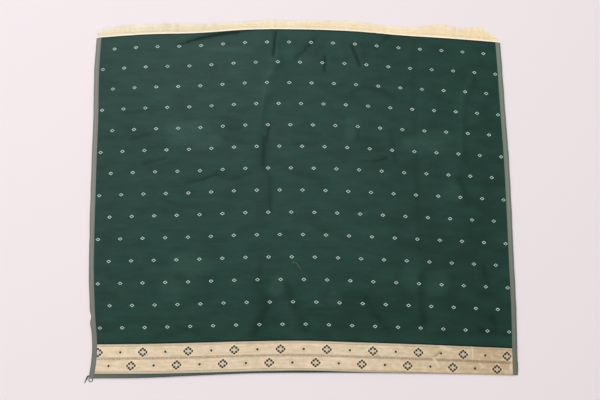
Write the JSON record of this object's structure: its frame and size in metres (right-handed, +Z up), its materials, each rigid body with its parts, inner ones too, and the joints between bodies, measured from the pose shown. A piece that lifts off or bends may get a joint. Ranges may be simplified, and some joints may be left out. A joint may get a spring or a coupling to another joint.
{
  "type": "folded silk saree",
  "caption": "Silk saree laid flat: green end panel with small woven diamonds, zari border, side selvedges and a fringed raw end, over the folded rest.",
  "frame": {"origin": "centre of the footprint, on the surface that the saree lies on", "axes": "+X across the loom width towards the right selvedge, +Y along the warp from the folded edge to the fringed raw end, +Z up"},
  "size_m": [1.1507, 0.9861, 0.0089],
  "materials": {
    "butta_silk": "bottle green satin silk with small pale woven diamonds",
    "selvedge_weave": "matte plain weave, cream warp crossed by green weft",
    "zari_brocade": "pale gold zari brocade with green and silver flowers",
    "hem_silk": "plain green silk at the folded edge",
    "layer_edges": "stacked folded silk layers with grey green selvedge edges",
    "warp_fringe": "loose cream silk warp ends"
  },
  "bodies": {
    "root": {"body_panel": "butta_silk", "selvedge_left": "selvedge_weave", "selvedge_right": "selvedge_weave", "zari_border": "zari_brocade", "front_fold": "hem_silk", "folded_layers": "layer_edges", "fringe": "warp_fringe"}
  },
  "joints": []
}
